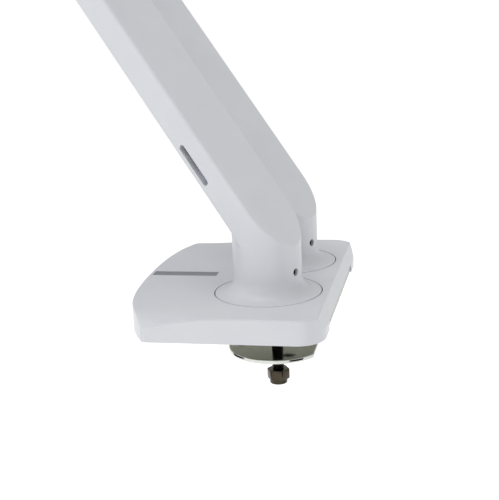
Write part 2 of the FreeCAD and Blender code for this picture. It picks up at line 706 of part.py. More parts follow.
def upper_arm():
    """The cast upper arm: two side walls, a roof and a short rounded back."""
    body = rounded_bar(UPPER_HALF_H, -UPPER_HALF_W, UPPER_HALF_W, 0, UPPER_LENGTH)
    inside = UPPER_HALF_W - UPPER_WALL
    room = rounded_bar(UPPER_HALF_H - UPPER_WALL, -inside, inside, 0, UPPER_LENGTH)
    low, high = PIVOT_Z - 2 * UPPER_HALF_H, PIVOT_Z + 2 * UPPER_HALF_H
    front = UPPER_LENGTH - UPPER_OPEN_FRONT
    open_below = block(-FAR, FAR, -inside, inside, low, PIVOT_Z + UPPER_OPEN_TOP)
    open_front = block(front, FAR, -inside, inside, low, high)
    holes = [crossways(PIVOT_R + SEAT, -FAR, FAR, x, PIVOT_Z) for x in (0, UPPER_LENGTH)]
    screw_x = SPRING_END + ANCHOR_L / 2
    holes.append(upright(TENSION_HEAD_R + THRUST_GAP, PIVOT_Z + TENSION_LOW, high, screw_x))
    return body.cut([room, open_below, open_front] + holes)


def upper_cover():
    """The flat cover closing the upper arm from below."""
    half = UPPER_HALF_W - UPPER_WALL - SEAT
    low = PIVOT_Z - UPPER_HALF_H
    plate = block(UPPER_COVER_START, UPPER_COVER_END, -half, half, low, low + COVER_T)
    start, end = UPPER_COVER_START + UPPER_LIP_BACK, UPPER_COVER_END - UPPER_LIP_FRONT
    lips = block(start, end, -half, half, low, low + COVER_T + UPPER_LIP_H)
    lips = lips.cut(block(-FAR, FAR, -half + LIP_T, half - LIP_T, low - PAST, PIVOT_Z))
    return joined([plate] + lips.Solids)


def pivot_pins():
    """The two main pins, held in the upper arm's side walls."""
    length = UPPER_HALF_W - PIVOT_PIN_SINK
    pins = [crossways(PIVOT_R, -length, length, x, PIVOT_Z) for x in (0, UPPER_LENGTH)]
    return Part.makeCompound(pins)


def level_link():
    """The link that keeps the wrist level."""
    z = PIVOT_Z - LINK_DROP
    pieces = [
        block(0, UPPER_LENGTH, -LINK_HALF_T, LINK_HALF_T, z - LINK_HALF_H, z + LINK_HALF_H),
        crossways(LINK_EYE_R, -LINK_HALF_T, LINK_HALF_T, 0, z),
        crossways(LINK_EYE_R, -LINK_HALF_T, LINK_HALF_T, UPPER_LENGTH, z),
    ]
    eyes = [crossways(LINK_PIN_R + RUN, -FAR, FAR, x, z) for x in (0, UPPER_LENGTH)]
    return joined(pieces).cut(eyes)


def spring_cylinder():
    """The gas spring's barrel."""
    z = PIVOT_Z + SPRING_AXIS
    barrel = lengthways(SPRING_R, SPRING_START, SPRING_END, z)
    barrel = barrel.makeFillet(SPRING_END_R, [e for e in barrel.Edges if e.BoundBox.XLength < TOUCH])
    bore_end = SPRING_START + ROD_SPRING_DEPTH + SPRING_BORE_PAST
    return barrel.cut(lengthways(ROD_SPRING_R + RUN, SPRING_START - BED, bore_end, z))


def spring_rod():
    """The gas spring's rod with the slotted yoke that bears on the elbow's pin."""
    z = PIVOT_Z + SPRING_AXIS
    rod = lengthways(ROD_SPRING_R, YOKE_HALF - BED, SPRING_START + ROD_SPRING_DEPTH, z)
    yoke = block(-YOKE_HALF, YOKE_HALF, -LINK_HALF_T, LINK_HALF_T, PIVOT_Z + YOKE_LOW, PIVOT_Z + YOKE_HIGH)
    slot = block(-YOKE_SLOT_HALF, YOKE_SLOT_HALF, -FAR, FAR, PIVOT_Z, PIVOT_Z + YOKE_SLOT_TOP)
    return joined([rod, yoke]).cut(slot)


def spring_anchor():
    """The block that holds the spring's far end in the arm."""
    half = UPPER_HALF_W - UPPER_WALL - SEAT
    low, high = PIVOT_Z + ANCHOR_LOW, PIVOT_Z + ANCHOR_HIGH
    body = block(SPRING_END, SPRING_END + ANCHOR_L, -half, half, low, high)
    return body.cut(upright(TENSION_R + SEAT, 0, FAR, SPRING_END + ANCHOR_L / 2))


def tension_screw():
    """The screw on top of the upper arm that sets the spring's pull."""
    x = SPRING_END + ANCHOR_L / 2
    top = PIVOT_Z + UPPER_HALF_H
    head_top = top - TENSION_SINK
    head_low = head_top - TENSION_HEAD_T
    shank = upright(TENSION_R, PIVOT_Z + TENSION_LOW, head_low + BED, x)
    head = upright(TENSION_HEAD_R, head_low, head_top, x)
    return joined([shank, head]).cut(hexagon(TENSION_HEAD_R, top - TENSION_SOCKET, top, x))


# ---- wrist ------------------------------------------------------------------------
def wrist_bracket():
    """The level bracket at the upper arm's end, with the upright pan barrel."""
    x = UPPER_LENGTH
    pan_x = x + PAN_OUT
    cheeks = crossways(WRIST_CHEEK_R, -CHEEK_OUT, CHEEK_OUT, x, PIVOT_Z)
    neck_low, neck_high = PIVOT_Z - WRIST_NECK_HALF, PIVOT_Z + WRIST_NECK_HALF
    neck = block(x, pan_x, -CHEEK_OUT, CHEEK_OUT, neck_low, neck_high)
    barrel = upright(BARREL_R, PIVOT_Z - BARREL_HALF, PIVOT_Z + BARREL_HALF, pan_x)
    cuts = [
        block(x - FAR, x + WRIST_SLOT, -CHEEK_IN, CHEEK_IN, 0, FAR),
        crossways(PIVOT_R + RUN, -FAR, FAR, x, PIVOT_Z),
        crossways(LINK_PIN_R + SEAT, -FAR, FAR, x, PIVOT_Z - LINK_DROP),
        upright(PAN_R + RUN, 0, FAR, pan_x),
    ]
    return joined([cheeks, neck, barrel]).cut(cuts)


def wrist_pin():
    """The link's pin in the wrist's cheeks."""
    return crossways(LINK_PIN_R, -CHEEK_OUT, CHEEK_OUT, UPPER_LENGTH, PIVOT_Z - LINK_DROP)


# ---- head, made about the upright pan axis and facing +X ------------------------------
def pan_yoke():
    """The fork over and under the wrist's barrel, with the tilt lug in front."""
    ear_low = BARREL_HALF + YOKE_GAP
    ear_high = ear_low + EAR_T
    pieces = []
    for low in (PIVOT_Z + ear_low, PIVOT_Z - ear_high):
        pieces.append(upright(YOKE_HALF_W, low, low + EAR_T))
        pieces.append(block(0, YOKE_WEB_OUT, -YOKE_HALF_W, YOKE_HALF_W, low, low + EAR_T))
    pieces.append(block(YOKE_WEB_IN, YOKE_WEB_OUT, -YOKE_HALF_W, YOKE_HALF_W,
                        PIVOT_Z - ear_high, PIVOT_Z + ear_high))
    pieces.append(block(YOKE_WEB_IN, TILT_OUT, -LUG_HALF, LUG_HALF, PIVOT_Z - LUG_R, PIVOT_Z + LUG_R))
    pieces.append(crossways(LUG_R, -LUG_HALF, LUG_HALF, TILT_OUT, PIVOT_Z))
    holes = [upright(PAN_R + SEAT, 0, FAR), crossways(TILT_R + RUN, -FAR, FAR, TILT_OUT, PIVOT_Z)]
    return joined(pieces).cut(holes)


def pan_pin():
    """The upright pin the head pans on."""
    reach = BARREL_HALF + EAR_T + PAN_PIN_PROUD
    pin = upright(PAN_R, PIVOT_Z - reach, PIVOT_Z + reach)
    return pin.makeChamfer(PAN_CHAMFER, level_edges(pin))


def tilt_head():
    """Two ears on the lug, a disc and the spindle the screen plate turns on."""
    inner = LUG_HALF + AIR
    pieces = [lengthways(HEAD_DISC_R, HEAD_DISC_IN, HEAD_DISC_OUT, PIVOT_Z)]
    for y0, y1 in ((inner, TILT_EAR_OUT), (-TILT_EAR_OUT, -inner)):
        pieces.append(crossways(LUG_R, y0, y1, TILT_OUT, PIVOT_Z))
        pieces.append(block(TILT_OUT, HEAD_DISC_IN + BED, y0, y1, PIVOT_Z - LUG_R, PIVOT_Z + LUG_R))
    pieces.append(lengthways(HEAD_SPINDLE_R, HEAD_DISC_OUT - BED, HEAD_SPINDLE_END, PIVOT_Z))
    return joined(pieces).cut(crossways(TILT_R + SEAT, -FAR, FAR, TILT_OUT, PIVOT_Z))


def tilt_bolt():
    """The bolt that squeezes the tilt joint."""
    end = TILT_EAR_OUT + TILT_HEAD_T
    shank = crossways(TILT_R, -end, end, TILT_OUT, PIVOT_Z)
    head = crossways(TILT_HEAD_R, TILT_EAR_OUT, end, TILT_OUT, PIVOT_Z)
    socket = crossways(SOCKET_R * 2, end - TILT_SOCKET_T, end + PAST, TILT_OUT, PIVOT_Z)
    return joined([shank, head]).cut(socket)


def tilt_nut():
    """The nut on the other end of the tilt bolt."""
    nut = hexagon(TILT_NUT_AF, 0, TILT_HEAD_T)
    nut.Placement = Placement(Vector(TILT_OUT, -TILT_EAR_OUT, PIVOT_Z), Rotation(X_AXIS, 90))
    return nut.cut(crossways(TILT_R + SEAT, -FAR, FAR, TILT_OUT, PIVOT_Z))


def plate_retainer():
    """The ring that keeps the screen plate on its spindle."""
    ring = lengthways(RETAINER_R, DRUM_FLOOR + THRUST_GAP, HEAD_SPINDLE_END, PIVOT_Z)
    return ring.cut(lengthways(HEAD_SPINDLE_R + SEAT, 0, FAR, PIVOT_Z))


def screen_plate():
    """The square plate the screen is screwed to."""
    plate = block(VESA_FACE - VESA_T, VESA_FACE, -VESA_HALF, VESA_HALF,
                  PIVOT_Z - VESA_HALF, PIVOT_Z + VESA_HALF)
    corners = [e for e in plate.Edges if e.BoundBox.XLength > TOUCH]
    plate = plate.makeFillet(VESA_CORNER_R, corners)
    body = joined([plate, lengthways(DRUM_R, DRUM_IN, VESA_FACE - BED, PIVOT_Z)])
    cuts = [lengthways(DRUM_POCKET_R, DRUM_FLOOR, FAR, PIVOT_Z),
            lengthways(HEAD_SPINDLE_R + RUN, 0, FAR, PIVOT_Z)]
    for spacing in VESA_PATTERNS:
        for y in (-spacing / 2, spacing / 2):
            for z in (-spacing / 2, spacing / 2):
                cuts.append(lengthways(VESA_HOLE_R, VESA_FACE - VESA_T - PAST, FAR, PIVOT_Z + z, y))
    return body.cut(cuts)


# ---- put together -------------------------------------------------------------------
BASE_NODES = {
    "base_cover": base_cover,
    "front_strip": front_strip,
    "base_plate": base_plate,
    "foot_pad": foot_pad,
    "cover_screws": cover_screws,
    "spindle_screws": spindle_screws,
    "spindles": spindles,
    "thrust_rings": thrust_rings,
    "rod_washer": rod_washer,
    "clamp_rod": clamp_rod,
    "clamp_disc": clamp_disc,
    "drive_nut": drive_nut,
    "locking_ring": locking_ring,
}
LOWER_NODES = {
    "lower_arm": lower_arm,
    "set_screws": set_screws,
    "cable_cover": cable_cover,
}
UPPER_NODES = {
    "elbow_post": elbow_post,
    "elbow_bracket": elbow_bracket,
    "elbow_pins": elbow_pins,
    "upper_arm": upper_arm,
    "upper_cover": upper_cover,
    "pivot_pins": pivot_pins,
    "level_link": level_link,
    "spring_cylinder": spring_cylinder,
    "spring_rod": spring_rod,
    "spring_anchor": spring_anchor,
    "tension_screw": tension_screw,
    "wrist_bracket": wrist_bracket,
    "wrist_pin": wrist_pin,
}
HEAD_NODES = {
    "pan_yoke": pan_yoke,
    "pan_pin": pan_pin,
    "tilt_head": tilt_head,
    "tilt_bolt": tilt_bolt,
    "tilt_nut": tilt_nut,
    "plate_retainer": plate_retainer,
    "screen_plate": screen_plate,
}


def ahead_of(x, y, distance, heading):
    """A place some distance away along a heading."""
    angle = math.radians(heading)
    return x + distance * math.cos(angle), y + distance * math.sin(angle)


def export_group(nodes, side, x, y, heading):
    """Make each node of a group and write it at its place on one side."""
    for node, make in nodes.items():
        export(turned(make(), x, y, heading), node + "_" + side)


def main():
    """Write every node."""
    os.makedirs("parts", exist_ok=True)
    for node, make in BASE_NODES.items():
        export(make(), node)
    for side, sign in SIDES.items():
        x = sign * COLUMN_SPACING / 2
        export_group(LOWER_NODES, side, x, COLUMN_Y, LOWER_HEADING)
        elbow = ahead_of(x, COLUMN_Y, REACH, LOWER_HEADING)
        heading = UPPER_HEADINGS[side]
        export_group(UPPER_NODES, side, *elbow, heading)
        pan = ahead_of(*elbow, UPPER_LENGTH + PAN_OUT, heading)
        export_group(HEAD_NODES, side, *pan, HEAD_HEADING)


main()
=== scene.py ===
# %% [markdown]
# # A dual monitor arm on a through-desk clamp
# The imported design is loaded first: every casting, pin and screw is already at its real
# place and size, in metres. This lesson gives each surface its finish, remodels the few
# pieces that need finer shape than the design holds, and lights them as a catalogue does.

# %% Load the design
import json
import math

import bmesh
import bpy
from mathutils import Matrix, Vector


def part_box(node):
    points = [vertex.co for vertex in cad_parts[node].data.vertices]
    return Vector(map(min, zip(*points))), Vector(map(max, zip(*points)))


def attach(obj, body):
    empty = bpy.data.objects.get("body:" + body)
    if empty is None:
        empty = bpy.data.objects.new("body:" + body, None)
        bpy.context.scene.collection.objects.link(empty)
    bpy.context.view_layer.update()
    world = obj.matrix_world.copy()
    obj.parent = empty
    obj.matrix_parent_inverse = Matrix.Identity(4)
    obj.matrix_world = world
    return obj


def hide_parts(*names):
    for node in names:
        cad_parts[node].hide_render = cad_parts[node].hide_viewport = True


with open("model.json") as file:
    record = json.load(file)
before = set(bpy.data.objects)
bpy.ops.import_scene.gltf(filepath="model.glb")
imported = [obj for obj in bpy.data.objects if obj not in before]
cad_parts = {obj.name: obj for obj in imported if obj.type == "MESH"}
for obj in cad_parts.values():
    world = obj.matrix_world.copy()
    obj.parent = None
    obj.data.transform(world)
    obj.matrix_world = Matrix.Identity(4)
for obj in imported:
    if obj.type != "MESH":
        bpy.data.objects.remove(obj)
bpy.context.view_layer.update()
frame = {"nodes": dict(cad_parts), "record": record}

NODES = frame["nodes"]
MM = 0.001
print("design loaded:", len(NODES), "nodes")

# %% [markdown]
# ## Camera
# The camera stands at the right-hand side of the desk, a little under a metre away and
# above the base, with a short telephoto lens so the arms keep their shape.

# %% Set up the camera
SENSOR_MM = 36.0
LENS_MM = 81.1
CAMERA_PLACE = (0.8803, 0.1883, 0.2796)
CAMERA_TURN_DEG = (75.117, 2.358, 101.014)
NEAREST_SEEN = 0.01


def set_camera():
    """Add the camera and make it the scene's own."""
    data = bpy.data.cameras.new("camera")
    data.sensor_width = SENSOR_MM
    data.lens = LENS_MM
    data.clip_start = NEAREST_SEEN
    camera = bpy.data.objects.new("camera", data)
    camera.location = CAMERA_PLACE
    camera.rotation_euler = [math.radians(a) for a in CAMERA_TURN_DEG]
    bpy.context.scene.collection.objects.link(camera)
    bpy.context.scene.camera = camera
    return camera


camera = set_camera()
print("camera at", tuple(round(v, 3) for v in camera.location), "m")

# %% [markdown]
# ## Helpers for materials
# Colours are written as sRGB hex, the way a paint chart gives them, and Blender's shaders
# want linear light. One function adds a node with its settings and its links.

# %% Colours and nodes


def linear(hex_colour, alpha=1.0):
    """An sRGB hex colour as linear red, green, blue and alpha, by the sRGB standard's curve."""
    channels = [int(hex_colour[i:i + 2], 16) / 255 for i in (0, 2, 4)]
    return [c / 12.92 if c <= 0.04045 else ((c + 0.055) / 1.055) ** 2.4 for c in channels] + [alpha]


def add(tree, kind, settings=None, inputs=None, links=None):
    """Add a node, set its properties and input values, and link its inputs."""
    node = tree.nodes.new(kind)
    for name, value in (settings or {}).items():
        setattr(node, name, value)
    for name, value in (inputs or {}).items():
        node.inputs[name].default_value = value
    for name, source in (links or {}).items():
        tree.links.new(source, node.inputs[name])
    return node


def new_material(name, **values):
    """A material with one Principled shader, its constant values set on its sockets."""
    material = bpy.data.materials.new(name)
    material.use_nodes = True
    shader = material.node_tree.nodes["Principled BSDF"]
    for socket, value in values.items():
        shader.inputs[socket.replace("_", " ")].default_value = value
    return material, material.node_tree, shader


print("middle grey 808080 is", round(linear("808080")[0], 3), "in linear light")

# %% [markdown]
# Real surfaces are never quite even. Three noise patterns do most of the work below: one
# lets the colour wander, one the gloss, and one raises a very fine relief. All of them read
# the piece's own Object coordinates, so a pattern stays on its piece when the arm moves.

# %% Patterns
MOTTLE_DETAIL = 3.0
GLOSS_DETAIL = 4.0
SKIN_DETAIL = 2.0
MOTTLE_FROM = 0.25
MOTTLE_TO = 0.75


def object_points(tree):
    """The socket that gives each point's place on its piece, in metres."""
    return add(tree, "ShaderNodeTexCoord").outputs["Object"]


def per_metre(size_mm):
    """Noise scale whose features are about this many millimetres across."""
    return 1 / (size_mm * MM)


def shade_between(tree, shader, light, dark, factor, start=0.0, end=1.0):
    """Drive the base colour from one shade to another by a factor."""
    ramp = add(tree, "ShaderNodeValToRGB", links={"Fac": factor})
    first, last = ramp.color_ramp.elements
    first.position = start
    last.position = end
    first.color = linear(dark)
    last.color = linear(light)
    tree.links.new(ramp.outputs["Color"], shader.inputs["Base Color"])


def mottle(tree, shader, light, dark, size_mm):
    """Let the base colour wander between two shades over patches of one size."""
    noise = add(tree, "ShaderNodeTexNoise", inputs={"Scale": per_metre(size_mm), "Detail": MOTTLE_DETAIL},
                links={"Vector": object_points(tree)})
    shade_between(tree, shader, light, dark, noise.outputs["Fac"], MOTTLE_FROM, MOTTLE_TO)


def roughen(tree, shader, low, high, size_mm):
    """Let the roughness wander between two values."""
    noise = add(tree, "ShaderNodeTexNoise", inputs={"Scale": per_metre(size_mm), "Detail": GLOSS_DETAIL},
                links={"Vector": object_points(tree)})
    spread = add(tree, "ShaderNodeMapRange", inputs={"To Min": low, "To Max": high},
                 links={"Value": noise.outputs["Fac"]})
    tree.links.new(spread.outputs["Result"], shader.inputs["Roughness"])


def skin(tree, shader, size_mm, depth_mm, strength=1.0):
    """A fine random bump, such as orange peel or mould grain."""
    noise = add(tree, "ShaderNodeTexNoise", inputs={"Scale": per_metre(size_mm), "Detail": SKIN_DETAIL},
                links={"Vector": object_points(tree)})
    bump = add(tree, "ShaderNodeBump", inputs={"Strength": strength, "Distance": depth_mm * MM},
               links={"Height": noise.outputs["Fac"]})
    tree.links.new(bump.outputs["Normal"], shader.inputs["Normal"])


FINISHES = {}
print("one millimetre of grain is a noise scale of", round(per_metre(1)))

# %% [markdown]
# ## Powder-coated die-cast aluminium
# The base cover and the arms are aluminium castings sprayed with a white polyester powder
# and baked. The coat flows into a satin skin with a faint orange peel about a millimetre
# across, so highlights are broad and soft and the colour is a cool, very light grey. The
# peel is drawn with a noise bump. A displaced mesh would also do, but the waves are only
# microns deep, far finer than any mesh here could carry.

# %% Powder coat


def powder_coated_die_cast_aluminium():
    """Satin white coat: soft wide highlights, faint peel, hardly any mottle."""
    material, tree, shader = new_material("powder-coated die-cast aluminium", IOR=1.5, Coat_Weight=0.12,
                                          Coat_Roughness=0.2)
    mottle(tree, shader, "D4D6DA", "CFD1D6", size_mm=40)
    roughen(tree, shader, low=0.34, high=0.44, size_mm=6)
    skin(tree, shader, size_mm=1.2, depth_mm=0.012, strength=0.35)
    return material


FINISHES["powder_coat"] = powder_coated_die_cast_aluminium()
print("made", FINISHES["powder_coat"].name)


# %% [markdown]
# ## Moulded ABS and nylon
# The cable covers and the grey inlay are injection-moulded ABS. The mould is spark-eroded,
# so the plastic has a fine matt grain and a slightly bluer white than the paint. The thrust
# rings are moulded nylon, black and matt. Nylon bends light as much as ABS does, so one
# function makes all three.

# %% Moulded plastics
GLOSS_WANDER = 0.05


def moulded_plastic(name, light, dark, roughness):
    """Matt plastic with a fine mould grain."""
    material, tree, shader = new_material(name, IOR=1.53)
    mottle(tree, shader, light, dark, size_mm=15)
    roughen(tree, shader, low=roughness - GLOSS_WANDER, high=roughness + GLOSS_WANDER, size_mm=3)
    skin(tree, shader, size_mm=0.9, depth_mm=0.02, strength=0.4)
    return material


FINISHES["grey_inlay"] = moulded_plastic("grey moulded ABS", "84868B", "7D7F84", roughness=0.45)
FINISHES["cover_plastic"] = moulded_plastic("white moulded ABS", "CBCDD8", "C4C6D2", roughness=0.5)
FINISHES["ring_nylon"] = moulded_plastic("black nylon", "2B2B2D", "222224", roughness=0.55)
print("made", len(FINISHES), "finishes so far")


# %% [markdown]
# ## Plated and blackened steel
# The clamp's big disc is polished and chrome-plated, so it mirrors what is round it, softly
# and with faint haze. The load plate, pins and posts are zinc-plated and passivated, which
# leaves a thin yellow-green tint and small spangled patches. The screws and the clamp rod
# are blackened in hot oxide and oiled. The nut has a dark, slightly bronze nickel finish.
# All metals keep the shader's own index of refraction.

# %% Metals


def plated_steel(name, light, dark, low, high, size_mm, grain_mm=0.0):
    """Metal whose shade and gloss wander a little; grain_mm adds a fine scuffed skin."""
    material, tree, shader = new_material(name, Metallic=1.0)
    mottle(tree, shader, light, dark, size_mm)
    roughen(tree, shader, low, high, size_mm / 2)
    if grain_mm:
        skin(tree, shader, grain_mm, depth_mm=0.01, strength=0.5)
    return material


FINISHES["chrome"] = plated_steel("chrome-plated steel", "CFD1CC", "C2C5BF",
                                  low=0.05, high=0.12, size_mm=12)
FINISHES["black_steel"] = plated_steel("black-oxide steel", "2E2D2B", "181817",
                                       low=0.28, high=0.46, size_mm=3, grain_mm=0.5)
FINISHES["bronzed_steel"] = plated_steel("dark nickel-plated steel", "4E483D", "38332B",
                                         low=0.1, high=0.2, size_mm=8)
print("made", len(FINISHES), "finishes so far")

# %% [markdown]
# Zinc grows on the steel in small crystals, each of which throws back its own shade. A
# Voronoi pattern gives every cell one random value, and that value picks the shade.

# %% Zinc plating
ZINC_CRYSTAL_MM = 3.0


def zinc_plated_steel():
    """Zinc with crystal-like patches, each of its own shade."""
    material, tree, shader = new_material("zinc-plated steel", Metallic=1.0)
    cells = add(tree, "ShaderNodeTexVoronoi", inputs={"Scale": per_metre(ZINC_CRYSTAL_MM)},
                links={"Vector": object_points(tree)})
    shade_between(tree, shader, "A6A89F", "8D9086", cells.outputs["Color"])
    roughen(tree, shader, low=0.24, high=0.4, size_mm=2)
    skin(tree, shader, size_mm=0.8, depth_mm=0.01, strength=0.4)
    return material


FINISHES["zinc_steel"] = zinc_plated_steel()
print("made", FINISHES["zinc_steel"].name)


# %% [markdown]
# ## Foam and gloss paint
# The pad under the base is closed-cell foam, grey-green, with a matt, pitted skin. The gas
# springs inside the upper arms are painted gloss black.

# %% Foam and enamel


def closed_cell_foam():
    """Matt grey-green foam with small pits."""
    material, tree, shader = new_material("closed-cell foam", Roughness=0.9)
    mottle(tree, shader, "86867A", "74746A", size_mm=9)
    skin(tree, shader, size_mm=1.0, depth_mm=0.15)
    return material


def gloss_painted_steel():
    """Smooth black enamel."""
    material, tree, shader = new_material("gloss-painted steel", Coat_Weight=0.5, Coat_Roughness=0.05)
    mottle(tree, shader, "1B1C1F", "131416", size_mm=20)
    roughen(tree, shader, low=0.18, high=0.26, size_mm=5)
    return material


FINISHES["pad_foam"] = closed_cell_foam()
FINISHES["spring_steel"] = gloss_painted_steel()
print("made", len(FINISHES), "finishes in all")

# %% [markdown]
# ## Finish every piece of the design
# The design's record names a finish for each piece, so one loop puts them all on.

# %% Put the finishes on the design's nodes


def finish_nodes():
    """Give every node the finish of its slot in the record."""
    for part in frame["record"]["subparts"]:
        node = NODES[part["node"]]
        material = FINISHES[part["material_slot"]]
        node.data.materials.clear()
        node.data.materials.append(material)


finish_nodes()
print("finishes:", ", ".join(m.name for m in FINISHES.values()))

# %% [markdown]
# ## Helpers for modelling
# Every new piece starts from a primitive and is shaped in edit mode. An operator acts on
# all that is selected, so the choice of faces and edges is made in code, by their place.

# %% Modelling helpers


def deselect():
    """Leave nothing selected."""
    if bpy.context.object and bpy.context.object.mode != "OBJECT":
        bpy.ops.object.mode_set(mode="OBJECT")
    bpy.ops.object.select_all(action="DESELECT")


def corners(node):
    """The lowest and highest corners of a node's box at rest."""
    return [Vector(corner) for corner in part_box(node)]


def add_cylinder(name, radius, low, high, place, sides=64):
    """A standing cylinder between two heights, ready to be shaped."""
    deselect()
    bpy.ops.mesh.primitive_cylinder_add(vertices=sides, radius=radius, depth=high - low,
                                        location=(place[0], place[1], (low + high) / 2))
    piece = bpy.context.object
    piece.name = name
    return piece


def pick(piece, test_face=None, test_edge=None):
    """Enter edit mode with only the faces or edges that pass a test selected."""
    bpy.ops.object.mode_set(mode="EDIT")
    bpy.ops.mesh.select_mode(type="FACE" if test_face else "EDGE")
    bpy.ops.mesh.select_all(action="DESELECT")
    mesh = bmesh.from_edit_mesh(piece.data)
    items, test = (mesh.faces, test_face) if test_face else (mesh.edges, test_edge)
    for item in items:
        if test(item):
            item.select_set(True)
    bmesh.update_edit_mesh(piece.data)


def bevel_edges(piece, test, offset, segments):
    """Round or break the edges that pass a test, then leave edit mode."""
    pick(piece, test_edge=test)
    bpy.ops.mesh.bevel(offset=offset, segments=segments)
    bpy.ops.object.mode_set(mode="OBJECT")


def join(main, *others):
    """Make several pieces one, with the first one's place."""
    deselect()
    for piece in (main, *others):
        piece.select_set(True)
    bpy.context.view_layer.objects.active = main
    bpy.ops.object.join()


# %% [markdown]
# The edges to bevel are told apart by where they lie on a standing cylinder: on its lower
# rim, on its upper rim, along either rim, or straight up its side.

# %% Tests for edges
LEVEL = 0.01 * MM
UPRIGHT = 1 * MM


def rise(edge):
    """How far an edge climbs from one end to the other."""
    return abs(edge.verts[0].co.z - edge.verts[1].co.z)


def on_lower_rim(edge):
    return all(v.co.z < 0 for v in edge.verts)


def on_upper_rim(edge):
    return all(v.co.z > 0 for v in edge.verts)


def on_a_rim(edge):
    return rise(edge) < LEVEL


def up_the_side(edge):
    return rise(edge) > UPRIGHT


# %% [markdown]
# A finished piece gets its place in its mesh, its finish, and the body that it moves with.

# %% Finish a new piece


def settle(piece, body, slot, *nodes, angle):
    """Apply the piece's place, shade it, give it its finish and let it ride on its body."""
    deselect()
    piece.select_set(True)
    bpy.context.view_layer.objects.active = piece
    bpy.ops.object.transform_apply(location=True, rotation=True, scale=True)
    bpy.ops.object.shade_smooth_by_angle(angle=math.radians(angle))
    piece.data.materials.clear()
    piece.data.materials.append(FINISHES[slot])
    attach(piece, body)
    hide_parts(*nodes)
    print(piece.name, "has", len(piece.data.polygons), "faces")


# %% [markdown]
# ## Clamp rod
# The rod is an M10 stud with a coarse 1.5 mm thread and a hexagon head inside the base. The
# thread is one tooth outline turned and lifted at once, which the Screw modifier does. A bump
# map would look the same from afar, but the ridges show in the rod's outline.

# %% Turn the clamp rod's thread
ROD_R = 5.0 * MM
PITCH = 1.5 * MM
THREAD_DEPTH = 0.92 * MM
CREST_R = ROD_R - 0.03 * MM
ROOT_R = ROD_R - THREAD_DEPTH
TOOTH = ((ROOT_R, 0.0), (ROOT_R, 0.18), (CREST_R, 0.44), (CREST_R, 0.56), (ROOT_R, 0.82), (ROOT_R, 1.0))
THREAD_STEPS = 32
LEAD_IN_TURNS = 0.8
SEAM = 0.005 * MM
HEAD_LOW = 6.8 * MM
HEAD_HIGH = 11.6 * MM
ACROSS_FLATS = 17.0 * MM
HEX_R = ACROSS_FLATS / math.sqrt(3)
rod_low, rod_high = corners("clamp_rod")
rod_axis = (rod_low + rod_high) / 2


def draw_tooth(thread):
    """Replace the start plane by one tooth's outline; its heights are parts of the pitch."""
    bpy.ops.object.mode_set(mode="EDIT")
    bpy.ops.mesh.delete(type="VERT")
    mesh = bmesh.from_edit_mesh(thread.data)
    verts = [mesh.verts.new((radius, 0, height * PITCH)) for radius, height in TOOTH]
    for lower, upper in zip(verts, verts[1:]):
        mesh.edges.new((lower, upper))
    bmesh.update_edit_mesh(thread.data)
    bpy.ops.object.mode_set(mode="OBJECT")


def clamp_rod_thread():
    """Turn the tooth up the rod and merge the seams between its turns."""
    deselect()
    bpy.ops.mesh.primitive_plane_add(size=PITCH)
    thread = bpy.context.object
    thread.name = "clamp_rod_thread"
    draw_tooth(thread)
    screw = thread.modifiers.new("thread", "SCREW")
    screw.angle = math.tau
    screw.screw_offset = PITCH
    screw.iterations = int((HEAD_LOW - rod_low.z) / PITCH) - 1
    screw.steps = screw.render_steps = THREAD_STEPS
    screw.use_merge_vertices = True
    screw.merge_threshold = 0.001 * MM
    screw.use_normal_calculate = True
    bpy.ops.object.modifier_apply(modifier=screw.name)
    bpy.ops.object.mode_set(mode="EDIT")
    bpy.ops.mesh.select_all(action="SELECT")
    bpy.ops.mesh.remove_doubles(threshold=SEAM)
    bpy.ops.object.mode_set(mode="OBJECT")
    thread.location = (rod_axis.x, rod_axis.y, rod_low.z + LEAD_IN_TURNS * PITCH)
    return thread


rod_thread = clamp_rod_thread()
print("thread's length:", round(max(v.co.z for v in rod_thread.data.vertices) / MM, 1), "mm")

# %% [markdown]
# The stud's core fills the thread, with a turned lead-in at the bottom, and the hexagon
# head is a six-sided cylinder whose top is bevelled. Core, head and thread overlap a hair
# and are joined as one piece.

# %% Add the rod's core and head
CORE_R = ROOT_R + 0.05 * MM
CORE_IN_HEAD = 0.5 * MM
LEAD_IN = 0.6 * MM
HEAD_BREAK = 0.5 * MM
core = add_cylinder("clamp_rod_core", CORE_R, rod_low.z, HEAD_LOW + CORE_IN_HEAD, rod_axis, sides=32)
bevel_edges(core, on_lower_rim, LEAD_IN, segments=2)
head = add_cylinder("clamp_rod_head", HEX_R, HEAD_LOW, HEAD_HIGH, rod_axis, sides=6)
bevel_edges(head, on_upper_rim, HEAD_BREAK, segments=2)
join(rod_thread, core, head)
rod_thread.name = "threaded_clamp_rod"
settle(rod_thread, "clamp_screw", "black_steel", "clamp_rod", angle=25)

# %% [markdown]
# ## Clamp disc
# A steel disc, blanked, with its straight edge sheared and its rim rolled round, then polished
# and chrome-plated. It is a cylinder cut by a plane, with both rims bevelled: the round rim
# catches light and dark from all round, while the flat top mirrors the pad above it. A hub
# for the thread sits underneath.

# %% Shape the clamp disc
DISC_R = 40.8 * MM
DISC_T = 3.6 * MM
RIM_ROUND = 0.85 * MM
SHARP = 1.0
disc_low, disc_high = corners("clamp_disc")
disc_axis = Vector((0, rod_axis.y, 0))


def sharp_rim(edge):
    """A rim edge whose two faces meet at more than SHARP radians."""
    return on_a_rim(edge) and edge.calc_face_angle(0) > SHARP


